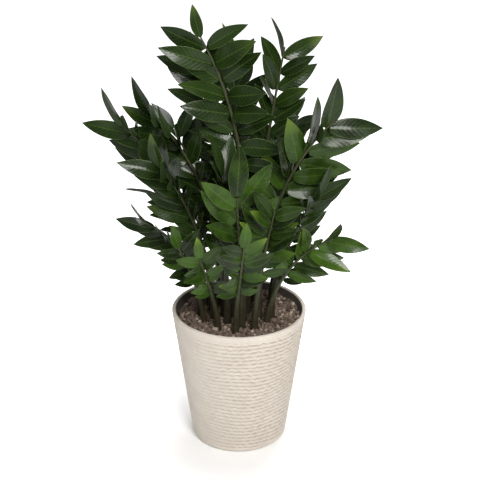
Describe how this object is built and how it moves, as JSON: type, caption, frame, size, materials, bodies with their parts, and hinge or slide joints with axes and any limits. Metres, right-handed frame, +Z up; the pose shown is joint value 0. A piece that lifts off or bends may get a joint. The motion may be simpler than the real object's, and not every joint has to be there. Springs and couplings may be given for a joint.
{
  "type": "potted zz plant",
  "caption": "Upright zz plant with arching fronds of paired glossy leaflets, in a tapered round cast-stone planter topped with loose clay granules.",
  "frame": {"origin": "centre of the planter's flat underside, on the surface it stands on", "axes": "+Z up through the planter's axis; -Y is the side seen from the front; +X is to the right of it"},
  "size_m": [0.6214, 0.4837, 1.0033],
  "materials": {
    "cast_stone": "matt cream cast stone with fine wavy ridges and faint speckles",
    "potting_mix": "dark crumbly potting mix",
    "granules": "loose dull mauve-brown clay granules, a few of them paler",
    "foliage": "waxy dark green leaflets with pale veins and edges, on thick green stalks with darker flecks"
  },
  "bodies": {
    "root": {"planter": "cast_stone", "potting_mix": "potting_mix", "granule_bed": "granules", "frond_01": "foliage", "frond_02": "foliage", "frond_03": "foliage", "frond_04": "foliage", "frond_05": "foliage", "frond_06": "foliage", "frond_07": "foliage", "frond_08": "foliage", "frond_09": "foliage", "frond_10": "foliage", "frond_11": "foliage", "frond_12": "foliage", "frond_13": "foliage", "frond_14": "foliage", "frond_15": "foliage", "frond_16": "foliage", "frond_17": "foliage", "frond_18": "foliage", "frond_19": "foliage", "frond_20": "foliage", "frond_21": "foliage", "frond_22": "foliage", "frond_23": "foliage", "frond_24": "foliage", "frond_25": "foliage", "frond_26": "foliage", "frond_27": "foliage"}
  },
  "joints": []
}
